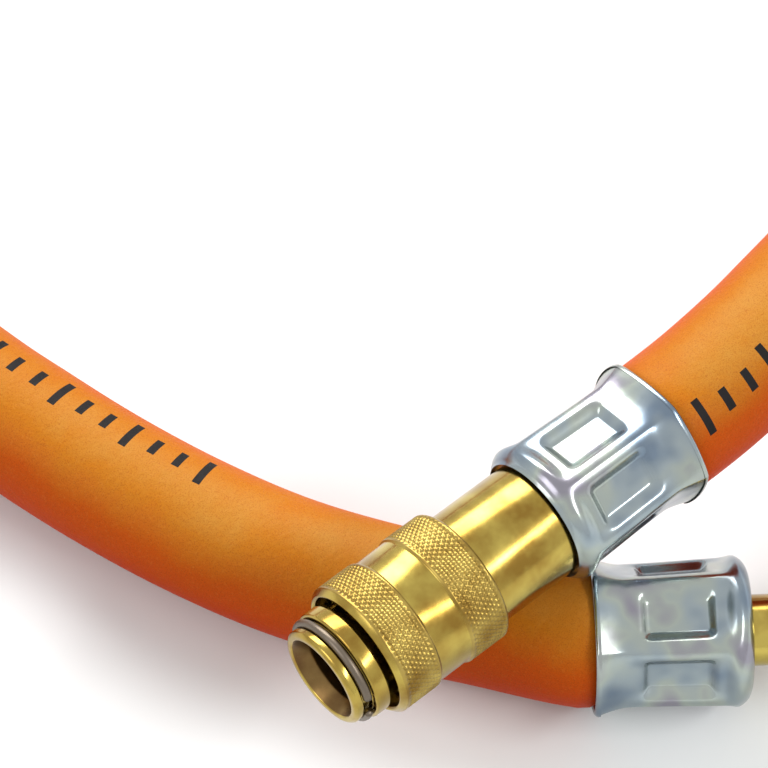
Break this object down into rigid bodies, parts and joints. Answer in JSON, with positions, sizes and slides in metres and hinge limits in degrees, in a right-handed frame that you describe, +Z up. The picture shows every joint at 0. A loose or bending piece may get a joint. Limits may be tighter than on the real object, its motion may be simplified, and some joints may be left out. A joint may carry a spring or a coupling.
{
  "type": "flexible gas hose",
  "caption": "Short orange rubber gas hose with a brass quick coupling on one end and a brass plug nipple on the other, both held in crimped steel ferrules.",
  "frame": {"origin": "on the surface that the hose lies on, under the middle of the box of its two end fittings", "axes": "+Z up, -X out of the coupling's mouth along its axis"},
  "size_m": [0.1793, 0.2366, 0.0318],
  "materials": {
    "hose_rubber": "matte, slightly dusty",
    "brass": "polished",
    "knurled_brass": "diamond knurled",
    "zinc_steel": "bright zinc plated",
    "spring_steel": "drawn wire",
    "ball_steel": "ground",
    "seal_rubber": "matte"
  },
  "bodies": {
    "root": {"hose": "hose_rubber", "coupler_body": "brass", "coupler_tail": "brass", "stop_collar": "brass", "snap_ring": "spring_steel", "front_seal": "seal_rubber", "body_seal": "seal_rubber", "valve_spring": "spring_steel", "coupler_ferrule": "zinc_steel", "plug_nipple": "brass", "nipple_ferrule": "zinc_steel"},
    "sleeve_slider": {"sleeve_spring": "spring_steel"},
    "sleeve": {"coupler_sleeve": "knurled_brass"},
    "valve": {"valve": "brass", "valve_seal": "seal_rubber"},
    "ball_1": {"ball_1": "ball_steel"},
    "ball_2": {"ball_2": "ball_steel"},
    "ball_3": {"ball_3": "ball_steel"},
    "ball_4": {"ball_4": "ball_steel"},
    "ball_5": {"ball_5": "ball_steel"},
    "ball_6": {"ball_6": "ball_steel"}
  },
  "joints": [
    {"name": "sleeve_slide", "type": "slide", "parent": "root", "child": "sleeve_slider", "axis": [-1, 0, 0], "range_m": [0, 0.003], "deforming": ["sleeve_spring"]},
    {"name": "sleeve_turn", "type": "hinge", "parent": "sleeve_slider", "child": "sleeve", "pos_m": [-0.01675, 0.0107, 0.0235], "axis": [1, 0, 0], "continuous": true},
    {"name": "valve_slide", "type": "slide", "parent": "root", "child": "valve", "axis": [1, 0, 0], "range_m": [0, 0.005], "deforming": ["valve_spring"]},
    {"name": "ball_1_slide", "type": "slide", "parent": "root", "child": "ball_1", "axis": [0, -1, 0], "range_m": [0, 0.0006]},
    {"name": "ball_2_slide", "type": "slide", "parent": "root", "child": "ball_2", "axis": [0, -0.5, -0.866], "range_m": [0, 0.0006]},
    {"name": "ball_3_slide", "type": "slide", "parent": "root", "child": "ball_3", "axis": [0, 0.5, -0.866], "range_m": [0, 0.0006]},
    {"name": "ball_4_slide", "type": "slide", "parent": "root", "child": "ball_4", "axis": [0, 1, 0], "range_m": [0, 0.0006]},
    {"name": "ball_5_slide", "type": "slide", "parent": "root", "child": "ball_5", "axis": [0, 0.5, 0.866], "range_m": [0, 0.0006]},
    {"name": "ball_6_slide", "type": "slide", "parent": "root", "child": "ball_6", "axis": [0, -0.5, 0.866], "range_m": [0, 0.0006]}
  ],
  "couplings": [
    {"joint": "valve_slide", "follows": "sleeve_slide", "ratio": 1.6666},
    {"joint": "ball_1_slide", "follows": "sleeve_slide", "ratio": 0.1999},
    {"joint": "ball_2_slide", "follows": "sleeve_slide", "ratio": 0.1999},
    {"joint": "ball_3_slide", "follows": "sleeve_slide", "ratio": 0.1999},
    {"joint": "ball_4_slide", "follows": "sleeve_slide", "ratio": 0.1999},
    {"joint": "ball_5_slide", "follows": "sleeve_slide", "ratio": 0.1999},
    {"joint": "ball_6_slide", "follows": "sleeve_slide", "ratio": 0.1999}
  ]
}
